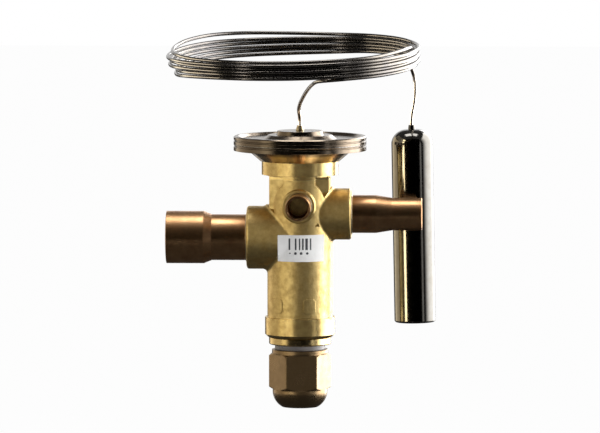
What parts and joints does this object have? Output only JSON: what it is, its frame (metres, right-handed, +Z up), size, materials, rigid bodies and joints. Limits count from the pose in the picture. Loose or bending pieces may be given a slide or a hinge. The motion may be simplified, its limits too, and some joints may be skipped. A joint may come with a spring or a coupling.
{
  "type": "thermostatic expansion valve",
  "caption": "Straightway refrigerant expansion valve with solder stubs, equalizer stub, welded head, coiled capillary with sensing bulb and a capped setting spindle.",
  "frame": {"origin": "centre of the mouth of the outlet stub's socket", "axes": "+Z up along the stem towards the head and the capillary coil, -X out of the outlet stub's mouth, -Y the way the equalizer stub faces"},
  "size_m": [0.1236, 0.1165, 0.1703],
  "materials": {
    "forged_brass": "forged and lightly blasted, darkened by handling",
    "dark_copper": null,
    "strainer_steel": "perforated sheet",
    "label_paper": "white printed label",
    "head_steel": "stainless sheet, turned satin",
    "inner_brass": "turned",
    "inner_steel": "turned stainless",
    "spring_steel": "spring wire",
    "plug_brass": "turned, bright",
    "gasket_copper": null,
    "packing": "graphite filled packing",
    "seal_rubber": "moulded",
    "grey_seal": "moulded grey ring",
    "cap_brass": "hexagon bar, bronze toned",
    "polished_steel": "stainless, polished",
    "capillary_steel": "drawn tube, bright",
    "braze": "braze alloy"
  },
  "bodies": {
    "valve": {"valve_body": "forged_brass", "outlet_tube": "dark_copper", "inlet_tube": "dark_copper", "equalizer_tube": "dark_copper", "inlet_strainer": "strainer_steel", "label": "label_paper", "head_base": "head_steel", "diaphragm": "head_steel", "head_cover": "head_steel", "rod_guide": "inner_brass", "rod_seal": "seal_rubber", "seal_retainer": "inner_brass", "orifice_seat": "inner_steel", "superheat_spring": "spring_steel", "bottom_plug": "plug_brass", "plug_seal": "gasket_copper", "packing_ring": "packing", "gland_nut": "inner_brass", "bulb": "polished_steel", "bulb_collar": "polished_steel", "capillary_ferrule": "braze", "capillary_tube": "capillary_steel"},
    "plunger": {"thrust_pad": "inner_brass", "push_rod": "inner_steel", "valve_cone": "inner_steel"},
    "carrier": {"spring_carrier": "inner_brass"},
    "spindle": {"setting_spindle": "inner_steel"},
    "seal_ring": {"cap_seal": "grey_seal"},
    "cap": {"seal_cap": "cap_brass"}
  },
  "joints": [
    {"name": "plunger_stroke", "type": "slide", "parent": "valve", "child": "plunger", "axis": [0, 0, -1], "range_m": [0, 0.001], "stiffness_N_per_m": 1000, "springref_m": -0.004, "deforming": ["superheat_spring"]},
    {"name": "spindle_turn", "type": "hinge", "parent": "valve", "child": "spindle", "pos_m": [0.0615, 0, -0.05], "axis": [0, 0, 1], "range_deg": [-1080, 1080]},
    {"name": "carrier_travel", "type": "slide", "parent": "valve", "child": "carrier", "axis": [0, 0, 1], "range_m": [-0.003, 0.003], "deforming": ["superheat_spring"]},
    {"name": "cap_travel", "type": "slide", "parent": "valve", "child": "seal_ring", "axis": [0, 0, -1], "range_m": [0, 0.009]},
    {"name": "cap_turn", "type": "hinge", "parent": "seal_ring", "child": "cap", "pos_m": [0.0615, 0, -0.06], "axis": [0, 0, -1], "range_deg": [0, 2160]}
  ],
  "couplings": [
    {"joint": "spindle_turn", "follows": "carrier_travel", "rad_per_m": 6283.2},
    {"joint": "cap_turn", "follows": "cap_travel", "rad_per_m": 4188.8}
  ]
}
